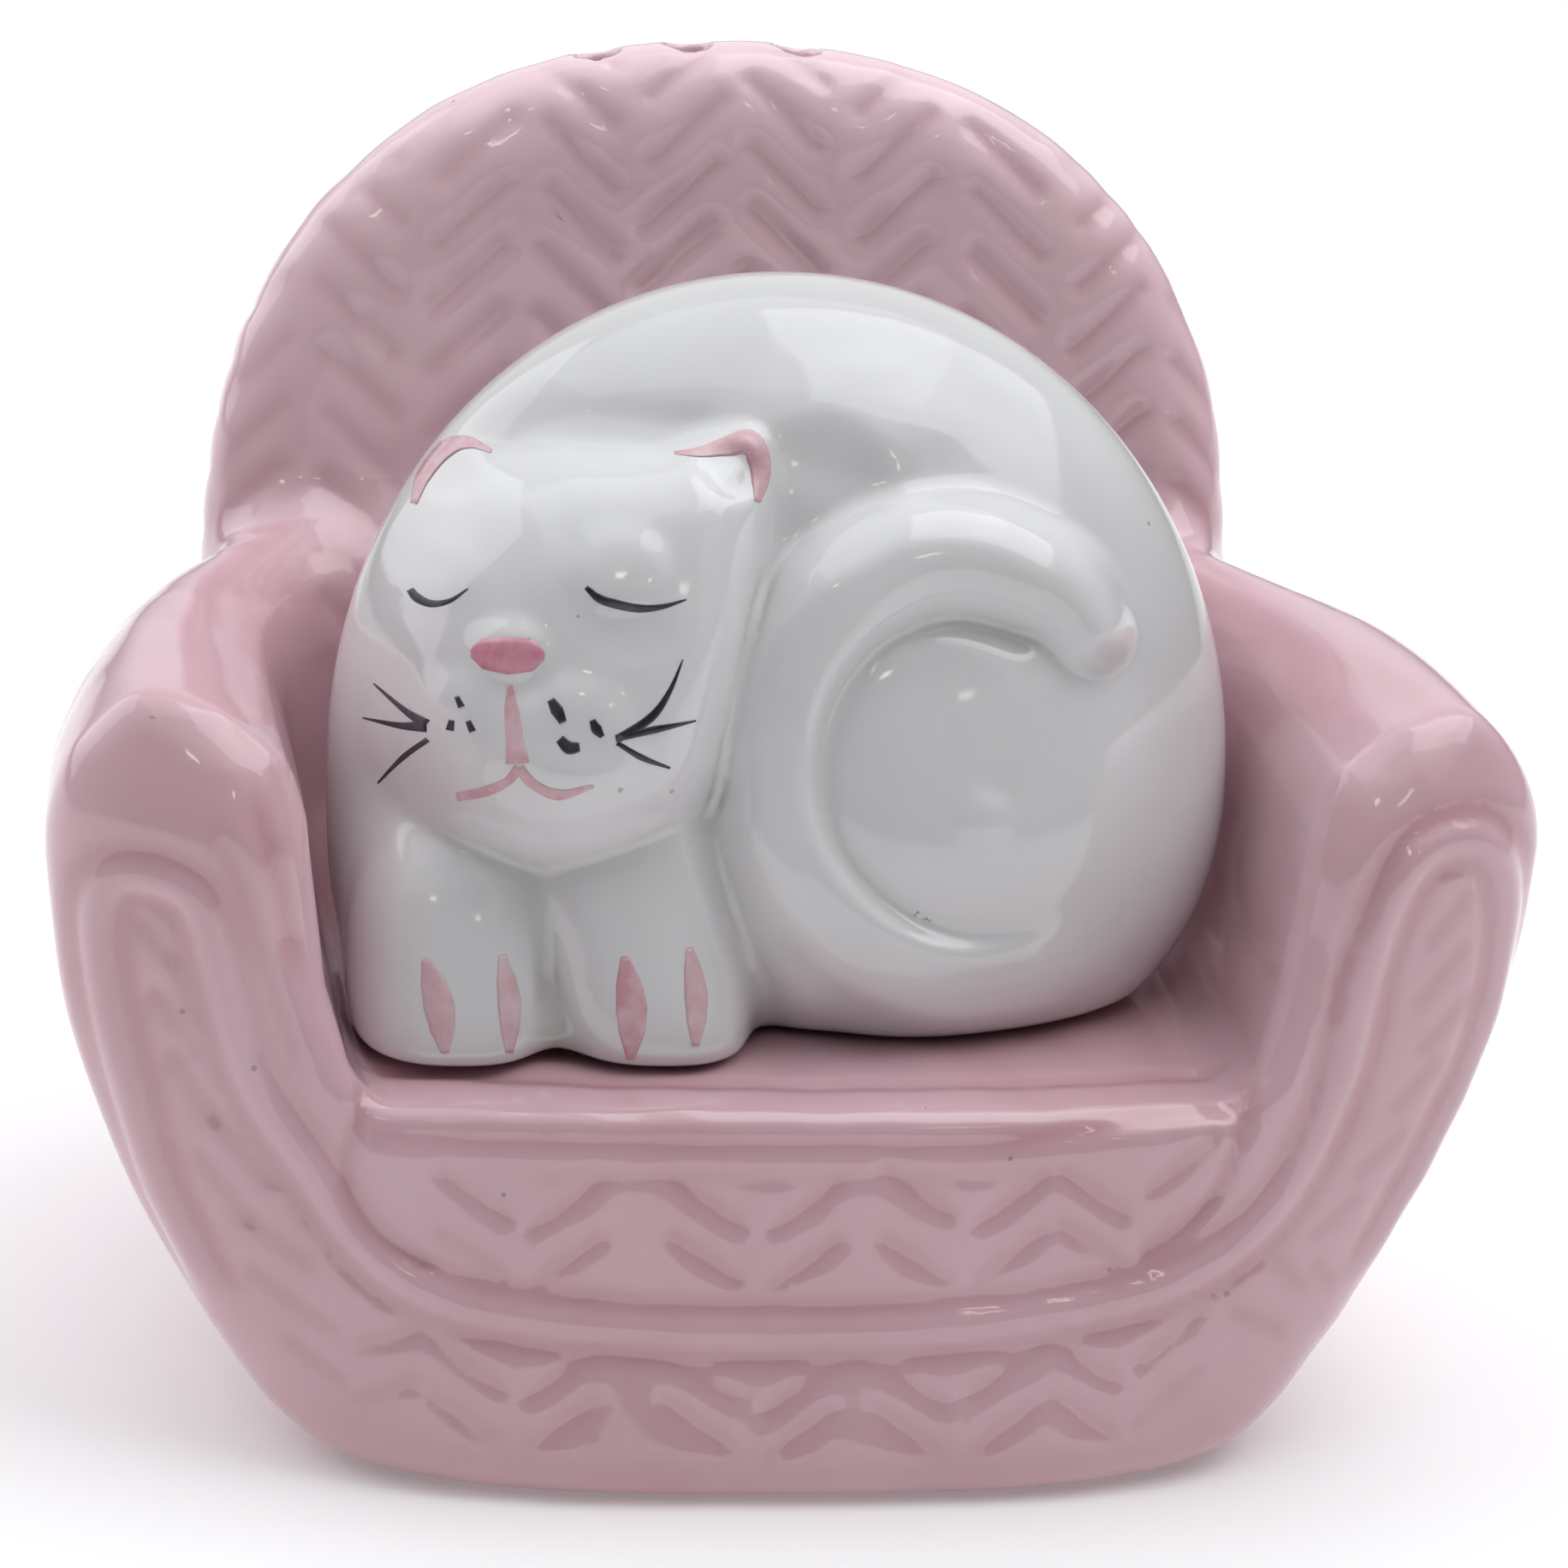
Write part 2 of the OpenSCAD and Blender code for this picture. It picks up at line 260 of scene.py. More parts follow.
def chair_relief(p, n):
    """(height in mm along the normal, glaze thickness from -1 thin to 1 thick) over the chair's outside."""
    x, y, z = p.T
    nx, ny, nz = n.T
    h = np.zeros(x.shape)
    pool_and_painted_light = np.zeros(x.shape)
    facing = step01(-ny, 0.05, 0.35)
    low = step01(-y, 24.5, 27.5) * facing
    m = (low > 0.01) & (z > 2)
    if m.any():
        xx, zz, w = x[m], z[m], low[m]
        d, share, side = path_dist(xx, zz, CORD)
        ends = step01(share, 0.0, 0.05) * step01(1 - share, 0.0, 0.05)
        ridge = bell(d, 0.95) * ends
        dark = (bell(d - 1.7, 0.62) + 0.5 * bell(d - 1.9, 1.0)) * ends
        hh = 0.32 * ridge - 0.22 * np.minimum(dark, 1.1)
        pl = 0.62 * np.minimum(dark, 1) - 0.55 * ridge
        clear = step01(d, 1.6, 2.6)
        for path in CUSHION_SIDES:
            dd, _, _ = path_dist(xx, zz, path)
            g = bell(dd, 0.72)
            hh = hh - 0.42 * g
            pl = np.maximum(pl, 0.85 * g)
        for path in FOLDS:
            dd, sh, _ = path_dist(xx, zz, path)
            g = bell(dd, 0.75) * step01(sh, 0, 0.25) * step01(1 - sh, 0, 0.3)
            hh = hh - 0.34 * g
            pl = np.maximum(pl, 0.7 * g)
        for a, b in ARM_STROKES:
            dd, _ = seg_dist(xx, zz, a, b)
            g = bell(dd, 0.82) * clear
            hh = hh - 0.2 * g
            pl = np.maximum(pl, 0.45 * g)
        for a, b, s in FRONT_STROKES:
            dd, t = seg_dist(xx, zz, a, b)
            g = bell(dd, 0.5 + 0.42 * np.sin(np.pi * (0.1 + 0.75 * t))) * clear * s
            hh = hh - 0.24 * g
            pl = np.maximum(pl, 0.5 * g)
        zb = 25.05 + 1.9 * step01(xx, 10, 29)
        g = bell(zz - zb, 0.75) * step01(30.2 - np.abs(xx), 0, 1.2)
        hh = hh - 0.3 * g
        pl = np.maximum(pl, 0.6 * g)
        g = bell(zz - zb + 2.2, 0.7) * step01(24 - np.abs(xx + 3), 0, 12) * clear
        hh = hh - 0.13 * g
        pl = np.maximum(pl, 0.32 * g)
        h[m] += hh * w
        pool_and_painted_light[m] += pl * w
    # front edge of the seat top
    top = step01(nz, 0.5, 0.85) * step01(-y, 20, 22) * (z < 31)
    ya = -29.4 + 3.1 * (x / 30) ** 2
    g = bell(y - ya, 0.95) * top * step01(30.6 - np.abs(x), 0, 2.5)
    h -= 0.26 * g
    pool_and_painted_light += 0.5 * g
    # back
    fb = step01(-ny, -0.35, 0.3) * step01(y, 4, 10) * step01(z, 40, 47)
    m = fb > 0.01
    if m.any():
        c = back_cut(x[m], z[m] + 0.35 * (y[m] - back_front(z[m])))
        rim = step01(-ny[m], 0.1, 0.9)
        a = (0.35 + 0.65 * rim) * fb[m]
        # towards the left of the back the strokes are cut shallower and given less pooling: a fainter relief there, and
        # a paler colour that is a painted reflection
        a = a * (1 - 0.4 * step01(-x[m], 10, 24))
        h[m] -= 0.27 * c * a
        pool_and_painted_light[m] += 0.55 * c * a
    # outside and rear
    out = step01(np.hypot(np.maximum(nx * np.sign(x), 0), np.maximum(ny, 0)), 0.55, 0.8) * step01(y, -22, -14) * step01(z, 5, 8)
    out = out * (1 - fb)
    m = out > 0.01
    if m.any():
        c = side_cut(x[m], y[m], z[m])
        top_fade = np.where(y[m] > 12, 1.0, 1 - 0.6 * step01(z[m], 42, 48))
        h[m] -= 0.2 * c * out[m] * top_fade
        pool_and_painted_light[m] += 0.6 * c * out[m] * top_fade
    # glaze runs thick towards the foot; the paler back and arm tops are painted light, added in build_chair
    pool_and_painted_light += 0.25 * step01(9 - z, 0, 9)
    # slow hand-made waviness
    h += 0.05 * np.sin(x * 0.43 + 1.0) * np.sin(z * 0.37 + 0.5) + 0.035 * np.sin(x * 0.9 + z * 0.71 + y * 0.3)
    return h, np.clip(pool_and_painted_light, -1, 1)


def chair_bores(x, y, z):
    r = np.hypot(x, y)
    d = np.maximum(r - 21.0, z - 1.6)
    d = np.minimum(d, np.maximum(r - 7.5, z - 9))
    for hx in (-10.3, -3.6, 4.5):
        d = np.minimum(d, np.maximum(np.hypot(x - hx, y - 28.3) - 1.45, 74 - z))
    return d


def chair_outer(x, y, z):
    side = chair_side(x, y, z)
    d = corner(side, z - Z_ARM, 10.0, 11.5)
    d = smin(d, arch(x, y, z), 4.5)
    k = np.interp(z, [27, 31, 38, 46, 56], [2.4, 4.2, 6.4, 7.8, 8.2])
    d = smax(d, -seat_space(x, y, z), k)
    return smax(d, -z, 4.6)


def chair(p, detail=True):
    x, y, z = p[:, 0], p[:, 1], p[:, 2]
    d = chair_outer(x, y, z)
    if detail:
        d = smax(d, -(d + 3.2), 0.3)
        d = smax(d, -chair_bores(x, y, z), 0.7)
    return d


# -------------------------------------------------------------------- the cat
LEAN = math.radians(17)
SL, CL = math.sin(LEAN), math.cos(LEAN)
CAT_FOOT = 27.35
TAIL = smooth_path([(19.4, 9.9), (18.5, 11.2), (16.9, 12.6), (14.4, 13.8), (11.4, 14.7), (8.3, 14.7), (5.0, 13.8), (1.7, 11.8), (-1.1, 8.4), (-2.7, 4.5),
                    (-3.2, 0.6), (-2.8, -3.6), (-1.0, -7.8), (2.1, -11.2), (6.3, -13.8), (11.1, -15.0), (15.8, -14.4), (20.2, -12.5), (24.1, -8.5)], 5)
LEG_LINE = smooth_path([(-7.2, -2.0), (-6.6, -6.0), (-5.0, -10.5), (-3.2, -14.1), (-1.6, -18.4)], 5)
BODY_LINE = smooth_path([(-1.4, 19.0), (-2.4, 14.6), (-4.4, 9.2), (-5.2, 3.6), (-6.5, -1.6)], 5)


def cat_local(x, y, z):
    dx, dy, dz = x - 0.6, y + 8.2, z - 43.0
    return dx, dy * SL + dz * CL, -dy * CL + dz * SL


def cat_world(u, v, w):
    return np.stack([u + 0.6, -8.2 + v * SL - w * CL, 43.0 + v * CL + w * SL], -1)


def dome(u, v, a, b, ru, rv, h, n=2.4, e=2.2):
    r = ((np.abs(u - a) / ru) ** e + (np.abs(v - b) / rv) ** e) ** (1 / e)
    return h * (1 - np.minimum(r, 1.7) ** n)


def hump(u, v, a, b, ru, rv, h):
    d = np.minimum(((u - a) / ru) ** 2 + ((v - b) / rv) ** 2, 1)
    return h * (1 - d) ** 2 * (1 + 2 * d)


HEAD = smooth_path([(-28.2, 14.2), (-27.5, 16.6), (-26.5, 18.9), (-25.2, 21.0), (-23.8, 22.1), (-22.4, 22.2), (-21.4, 21.5), (-19.6, 21.3),
                    (-16.9, 21.3), (-14.1, 21.1), (-11.3, 21.3), (-9.0, 22.1), (-6.1, 23.2), (-4.2, 23.3), (-3.1, 22.0), (-2.9, 19.7),
                    (-3.3, 17.1), (-3.8, 14.8), (-4.4, 11.9), (-5.0, 7.9), (-5.8, 3.9), (-6.9, -0.2), (-8.4, -2.8), (-10.7, -4.5),
                    (-14.7, -6.0), (-18.3, -6.6), (-22.5, -5.9), (-25.8, -4.7), (-28.2, -2.6), (-30.0, 0.9), (-30.6, 4.9), (-30.6, 8.6),
                    (-29.6, 11.9), (-28.2, 14.2)], 4)


def outline_dist(u, v, path):
    """Signed distance to a closed outline, negative inside."""
    best = np.full(u.shape, 1e9)
    inside = np.zeros(u.shape, bool)
    for a, b in zip(path[:-1], path[1:]):
        best = np.minimum(best, seg_dist(u, v, a, b)[0])
        if a[1] != b[1]:
            inside ^= ((a[1] > v) != (b[1] > v)) & (u < (b[0] - a[0]) * (v - a[1]) / (b[1] - a[1]) + a[0])
    return np.where(inside, -best, best)


def cat_relief(u, v):
    # tail, thick at its tip over the top and thinner round the bottom
    d, s, side = path_dist(u, v, TAIL)
    width = np.interp(s, [0, 0.08, 0.2, 0.34, 0.46, 0.58, 0.8, 1], [3.6, 4.0, 4.4, 4.4, 3.8, 3.3, 3.3, 3.4])
    high = np.interp(s, [0, 0.15, 0.4, 0.52, 0.75, 0.9, 1], [3.2, 3.7, 3.0, 2.1, 1.9, 1.2, 0.1])
    q = d / width
    power = np.interp(s, [0, 0.3, 0.45, 1], [2.1, 2.3, 3.6, 3.6])
    tail = high * (1 - np.minimum(q, 1.8) ** power) - 0.8 * step01(s, 0.88, 1.0)
    inner = (side > 0) * step01(s, 0.03, 0.12)
    lip = 0.7 * bell(d - width * 0.82, 0.95) * inner * step01(s, 0.28, 0.42) * step01(1 - s, 0.02, 0.2)
    disc = hump(u, v, 13.0, -1.6, 13.5, 13.0, 1.5)
    out = smax(np.zeros(u.shape) + disc, tail, 0.9) + lip
    out = out - 0.6 * bell(d - width * 1.05, 1.0) * inner * step01(1 - s, 0.05, 0.25)
    out = out + hump(u, v, 11.6, -3.2, 2.3, 2.6, 0.3) - hump(u, v, 12.4, -1.2, 1.8, 1.6, 0.22)
    # crease between the right foreleg and the haunch, and between the head and the body
    d2, s2, _ = path_dist(u, v, LEG_LINE)
    out = out - 1.8 * bell(d2, 1.7)
    d3, s3, _ = path_dist(u, v, BODY_LINE)
    out = out - 1.0 * bell(d3, 2.2) * step01(s3, 0, 0.3)
    out = out + hump(u, v, 0.6, 18.5, 5.5, 6, -0.7) + hump(u, v, 3.5, 24.5, 9, 5, 0.4)
    # hollow behind the top of the head
    out = out - 0.45 * bell(v - 22.9 - 0.5 * bell(u + 15, 6), 1.5) * step01(u, -24, -19) * step01(-u, 4, 9)
    # the head stands off the body on a clear edge, with the ears as its two upper corners
    sd = outline_dist(u, v, HEAD)
    t = np.clip(-sd / 5.2, 0, 1)
    edge = 1 - (1 - t) ** 2.3
    uc = -17.3 + 0.16 * (v - 7.5)
    r2 = ((u - uc) / 14.0) ** 2 + ((v - 7.3) / 16.0) ** 2
    face = 3.6 * edge + 2.3 * (1 - np.minimum(r2, 1.2)) - np.maximum(sd, 0) * 1.4
    face = face + hump(u, v, -23.6, 2.2, 5.2, 5.0, 0.8) + hump(u, v, -17.4, 1.8, 5.8, 5.2, 0.9)
    face = face + hump(u, v, -21.2, 7.6, 3.2, 2.6, 0.7) + hump(u, v, -20.9, 12.5, 4.0, 8.0, 0.5)
    face = face + hump(u, v, -14.1, 13.2, 4.2, 3.8, 0.6) + hump(u, v, -25.6, 13.0, 3.2, 3.2, 0.4)
    face = face - hump(u, v, -13.5, 9.0, 3.6, 2.6, 0.3) - hump(u, v, -20.9, 3.2, 0.9, 4.0, 0.3)
    # dished ears, and the dips where they leave the forehead
    face = face - hump(u, v, -5.9, 19.9, 2.9, 2.5, 1.1) - hump(u, v, -24.4, 19.4, 2.2, 2.1, 0.8)
    face = face + 0.5 * bell(sd + 0.9, 0.7) * np.maximum(bell(u + 4.5, 4) * bell(v - 21, 4), bell(u + 25.5, 3) * bell(v - 20, 4))
    face = face - hump(u, v, -10.6, 22.0, 2.6, 1.6, 0.5) - hump(u, v, -20.6, 22.0, 2.0, 1.6, 0.5)
    face = face + hump(u, v, -19.0, -2.6, 9.0, 4.6, 0.7)
    return smax(out, face, 0.8)


def soften(table, sigma):
    """Rounds a height table the way glaze does, by a Gaussian of so many cells."""
    k = np.exp(-0.5 * (np.arange(-3 * math.ceil(sigma), 3 * math.ceil(sigma) + 1) / sigma) ** 2)
    k /= k.sum()
    m = len(k) // 2
    for axis in (0, 1):
        pad = [(m, m) if i == axis else (0, 0) for i in (0, 1)]
        t = np.pad(table, pad, mode="edge")
        table = sum(w * np.take(t, np.arange(i, i + table.shape[axis]), axis) for i, w in enumerate(k))
    return table


# the relief is worked out once on a fine table and read back smoothly
RU = np.arange(-34, 34.01, 0.16)
RV = np.arange(-28, 36.01, 0.16)
RELIEF = soften(cat_relief(*[g.ravel() for g in np.meshgrid(RU, RV, indexing="ij")]).reshape(len(RU), len(RV)), 2.4)


def relief_at(u, v):
    a = np.clip((u - RU[0]) / 0.16, 0, len(RU) - 1.001)
    b = np.clip((v - RV[0]) / 0.16, 0, len(RV) - 1.001)
    i, j = a.astype(int), b.astype(int)
    a, b = a - i, b - j
    return (RELIEF[i, j] * (1 - a) * (1 - b) + RELIEF[i + 1, j] * a * (1 - b) + RELIEF[i, j + 1] * (1 - a) * b + RELIEF[i + 1, j + 1] * a * b)


def paw(x, y, z, cx, cy, cz, rx, ry, rz, n=2.5, m=3.2):
    r = ((np.abs(y - cy) / ry) ** m + (np.abs(z - cz) / rz) ** m) ** (n / m)
    r = ((np.abs(x - cx) / rx) ** n + r + 1e-9) ** (1 / n)
    return (r - 1) * np.minimum(rx, min(ry, rz))


def cat_outer(x, y, z):
    u, v, w = cat_local(x, y, z)
    e = np.where(v >= 0, 2.03, 3.3 - 0.95 * step01(u, -2, 15))
    hh = np.where(v >= 0, 34.0, 24.0)
    s = ((np.abs(u) / 31.8) ** e + (np.abs(v) / hh) ** e + 1e-9) ** (1 / e)
    rel = relief_at(u, v) * (1 - np.minimum(s, 1) ** 9)
    wr = w - rel * step01(w, -3, 5)
    t = np.where(wr > 0, 14.5, 16.0)
    r = (s**2.8 + (np.abs(wr) / t) ** 1.82 + 1e-9) ** (1 / 2.2)
    d = (r - 1) * 16
    # forelegs slope down and forward from under the chin
    k = np.clip((z - 28) / 14, 0, 1.2)
    cy = -20.2 + 4.4 * k
    left = paw(x, y, z, -23.2 - 0.3 * k, cy + 1.2 * k, 33.0, 7.3 - 0.7 * k, 8.6, 9.6)
    right = paw(x, y, z, -9.2 - 3.8 * k, cy + 0.4 * k, 34.0, 7.9 - 1.9 * k, 8.6, 10.2)
    d = smin(d, smin(left, right, 1.0 + 2.4 * step01(33 - z, 0, 5)), 2.0)
    u0 = (x - 1.6) / 4.5
    d = d + 1.2 * np.exp(-(u0**2)) * step01(-y, 16, 21) * step01(34 - z, 0, 7)
    return d


def cat_bores(x, y, z):
    r = np.hypot(x, y + 8)
    d = np.maximum(r - 8.3, z - (CAT_FOOT + 1.6))
    d = np.minimum(d, np.maximum(r - 5.5, z - (CAT_FOOT + 7)))
    a = math.radians(50)
    for hx in (-3.5, 3.5):
        yy, zz = y - 6, z - 66
        al = yy * math.sin(a) + zz * math.cos(a)
        ac = yy * math.cos(a) - zz * math.sin(a)
        d = np.minimum(d, np.maximum(np.hypot(x - hx, ac) - 1.45, np.abs(al) - 8))
    return d


def cat(p, detail=True):
    x, y, z = p[:, 0], p[:, 1], p[:, 2]
    d = cat_outer(x, y, z)
    d = smax(d, CAT_FOOT - z, 1.3)
    if detail:
        d = smax(d, -(d + 2.4), 0.3)
        d = smax(d, -cat_bores(x, y, z), 0.6)
    return d


# SDF-END


# ------------------------------------------------------------------- meshing
def gradient(f, p, e=0.04):
    g = np.empty_like(p)
    for i in range(3):
        o = np.zeros(3)
        o[i] = e
        g[:, i] = (f(p + o) - f(p - o)) / (2 * e)
    return g


def surface_nets(f, lo, hi, h, coarse=4):
    """A quad mesh of f = 0 on a grid of step h, with its points moved onto the surface."""
    lo = np.array(lo, float)
    big = h * coarse
    nb = np.ceil((np.array(hi) - lo) / big).astype(int)
    axes = [lo[i] + big * (np.arange(nb[i]) + 0.5) for i in range(3)]
    c = np.stack(np.meshgrid(*axes, indexing="ij"), -1).reshape(-1, 3)
    near = (np.abs(f(c)) < big * 1.9).reshape(nb)
    cells = near.repeat(coarse, 0).repeat(coarse, 1).repeat(coarse, 2)
    n = np.array(cells.shape)
    mask = np.zeros(n + 1, bool)
    for i in (0, 1):
        for j in (0, 1):
            for k in (0, 1):
                mask[i:n[0] + i, j:n[1] + j, k:n[2] + k] |= cells
    idx = np.argwhere(mask)
    val = np.ones(mask.shape, np.float32) * 9
    out = np.empty(len(idx), np.float32)
    for a in range(0, len(idx), 300000):
        out[a:a + 300000] = f(lo + idx[a:a + 300000] * h)
    val[mask] = np.where(out == 0, 1e-6, out)
    neg = val < 0
    some = np.zeros(n, bool)
    every = np.ones(n, bool)
    for i in (0, 1):
        for j in (0, 1):
            for k in (0, 1):
                s = neg[i:n[0] + i, j:n[1] + j, k:n[2] + k]
                some |= s
                every &= s
    mixed = some & ~every & cells
    cid = np.argwhere(mixed)
    number = np.full(n, -1, np.int64)
    number[mixed] = np.arange(len(cid))
    total = np.zeros((len(cid), 3))
    count = np.zeros(len(cid))
    corner = [np.array(q) for q in ((0, 0, 0), (1, 0, 0), (0, 1, 0), (1, 1, 0), (0, 0, 1), (1, 0, 1), (0, 1, 1), (1, 1, 1))]
    cv = [val[tuple((cid + q).T)] for q in corner]
    for a, b in ((0, 1), (2, 3), (4, 5), (6, 7), (0, 2), (1, 3), (4, 6), (5, 7), (0, 4), (1, 5), (2, 6), (3, 7)):
        va, vb = cv[a], cv[b]
        m = (va < 0) != (vb < 0)
        t = np.where(m, va / np.where(m, va - vb, 1), 0)[:, None]
        total += m[:, None] * (corner[a] + t * (corner[b] - corner[a]))
        count += m
    verts = lo + (cid + total / count[:, None]) * h
    for _ in range(2):
        for a in range(0, len(verts), 200000):
            p = verts[a:a + 200000]
            g = gradient(f, p)
            g2 = np.maximum((g * g).sum(1), 0.05)
            step = f(p) / g2
            length = np.abs(step) * np.sqrt(g2)
            step *= np.minimum(1, 0.4 * h / np.maximum(length, 1e-9))
            verts[a:a + 200000] = p - g * step[:, None]
    quads = []
    for ax in range(3):
        o1, o2 = [q for q in range(3) if q != ax]
        s = [slice(1, -1)] * 3
        s[ax] = slice(0, -1)
        e = [slice(1, -1)] * 3
        e[ax] = slice(1, None)
        a, b = neg[tuple(s)], neg[tuple(e)]
        at = np.argwhere(a != b)
        flip = a[tuple(at.T)]
        at = at + 1
        at[:, ax] -= 1
        ring = []
        for d1, d2 in ((0, 0), (1, 0), (1, 1), (0, 1)):
            q = at.copy()
            q[:, o1] -= d1
            q[:, o2] -= d2
            ring.append(number[tuple(q.T)])
        q = np.stack(ring, 1)
        turn = flip if ax != 1 else ~flip
        q[~turn] = q[~turn][:, ::-1]
        quads.append(q[(q >= 0).all(1)])
    return verts, np.vstack(quads)


def vertex_normals(v, q):
    n = np.cross(v[q[:, 2]] - v[q[:, 0]], v[q[:, 3]] - v[q[:, 1]])
    out = np.zeros_like(v)
    for i in range(4):
        np.add.at(out, q[:, i], n)
    return out / np.maximum(np.linalg.norm(out, axis=1), 1e-12)[:, None]


def make_mesh(name, verts_mm, faces, smooth=True):
    me = bpy.data.meshes.new(name)
    k = faces.shape[1]
    me.vertices.add(len(verts_mm))
    me.vertices.foreach_set("co", (np.asarray(verts_mm) * 0.001).ravel())
    me.loops.add(faces.size)
    me.loops.foreach_set("vertex_index", faces.ravel())
    me.polygons.add(len(faces))
    me.polygons.foreach_set("loop_start", np.arange(len(faces)) * k)
    me.polygons.foreach_set("use_smooth", np.full(len(faces), smooth))
    me.update(calc_edges=True)
    me.validate()
    ob = bpy.data.objects.new(name, me)
    bpy.context.scene.collection.objects.link(ob)
    return ob


def thin_out(ob, triangles):
    """Collapses the flattest edges first, down to a number of triangles, and applies it."""
    me = ob.data
    now = sum(len(p.vertices) - 2 for p in me.polygons)
    if now <= triangles:
        return
    mod = ob.modifiers.new("thin", "DECIMATE")
    mod.ratio = triangles / now
    deps = bpy.context.evaluated_depsgraph_get()
    new = bpy.data.meshes.new_from_object(ob.evaluated_get(deps))
    ob.modifiers.clear()
    old = ob.data
    ob.data = new
    new.name = old.name
    bpy.data.meshes.remove(old)
    new.polygons.foreach_set("use_smooth", np.ones(len(new.polygons), bool))


def mesh_points(ob):
    me = ob.data
    co = np.empty(len(me.vertices) * 3)
    no = np.empty(len(me.vertices) * 3)
    me.vertices.foreach_get("co", co)
    me.vertices.foreach_get("normal", no)
    return co.reshape(-1, 3) * 1000, no.reshape(-1, 3)


def put_attribute(ob, name, values):
    at = ob.data.attributes.new(name, "FLOAT", "POINT")
    at.data.foreach_set("value", np.asarray(values, np.float32))


# ----------------------------------------------------------------- materials
class Nodes:
    """A short hand for building one material's node tree."""

    def __init__(self, name):
        self.mat = bpy.data.materials.new(name)
        self.mat.use_nodes = True
        self.tree = self.mat.node_tree
        self.tree.nodes.clear()
        self.out = self.add("ShaderNodeOutputMaterial")
        self.bsdf = self.add("ShaderNodeBsdfPrincipled")
        self.link(self.bsdf.outputs[0], self.out.inputs[0])
        self.coord = self.add("ShaderNodeTexCoord").outputs["Object"]

    def add(self, kind, **props):
        n = self.tree.nodes.new(kind)
        for k, v in props.items():
            setattr(n, k, v)
        return n

    def link(self, a, b):
        self.tree.links.new(a, b)

    def noise(self, scale, detail=3.0, rough=0.5, stretch=None):
        n = self.add("ShaderNodeTexNoise")
        n.inputs["Scale"].default_value = scale
        n.inputs["Detail"].default_value = detail
        n.inputs["Roughness"].default_value = rough
        src = self.coord
        if stretch:
            m = self.add("ShaderNodeMapping")
            m.inputs["Scale"].default_value = stretch
            self.link(src, m.inputs[0])
            src = m.outputs[0]
        self.link(src, n.inputs["Vector"])
        return n.outputs["Fac"]

    def ramp(self, value, stops):
        r = self.add("ShaderNodeValToRGB")
        e = r.color_ramp.elements
        while len(e) > 1:
            e.remove(e[-1])
        e[0].position, e[0].color = stops[0][0], (*stops[0][1], 1)
        for pos, col in stops[1:]:
            s = e.new(pos)
            s.color = (*col, 1)
        self.link(value, r.inputs[0])
        return r.outputs[0]

    def mix(self, a, b, fac, kind="MIX"):
        m = self.add("ShaderNodeMix", data_type="RGBA", blend_type=kind)
        for sock, v in ((m.inputs[6], a), (m.inputs[7], b)):
            if isinstance(v, tuple):
                sock.default_value = (*v, 1)
            else:
                self.link(v, sock)
        if isinstance(fac, (int, float)):
            m.inputs[0].default_value = fac
        else:
            self.link(fac, m.inputs[0])
        return m.outputs[2]

    def math(self, op, a, b=0.0, clamp=False):
        m = self.add("ShaderNodeMath", operation=op, use_clamp=clamp)
        for sock, v in zip(m.inputs, (a, b)):
            if isinstance(v, (int, float)):
                sock.default_value = v
            else:
                self.link(v, sock)
        return m.outputs[0]

    def span(self, value, a, b, c, d):
        m = self.add("ShaderNodeMapRange")
        for i, v in enumerate((a, b, c, d)):
            m.inputs[i + 1].default_value = v
        self.link(value, m.inputs[0])
        return m.outputs[0]

    def attr(self, name):
        return self.add("ShaderNodeAttribute", attribute_name=name).outputs["Fac"]

    def bump(self, height, strength, distance):
        b = self.add("ShaderNodeBump")
        b.inputs["Strength"].default_value = strength
        b.inputs["Distance"].default_value = distance
        self.link(height, b.inputs["Height"])
        self.link(b.outputs[0], self.bsdf.inputs["Normal"])

    def set(self, **kw):
        for k, v in kw.items():
            s = self.bsdf.inputs[k.replace("_", " ")]
            if hasattr(v, "is_linked") or hasattr(v, "links"):
                self.link(v, s)
            else:
                s.default_value = (*v, 1) if isinstance(v, tuple) and len(v) == 3 else v


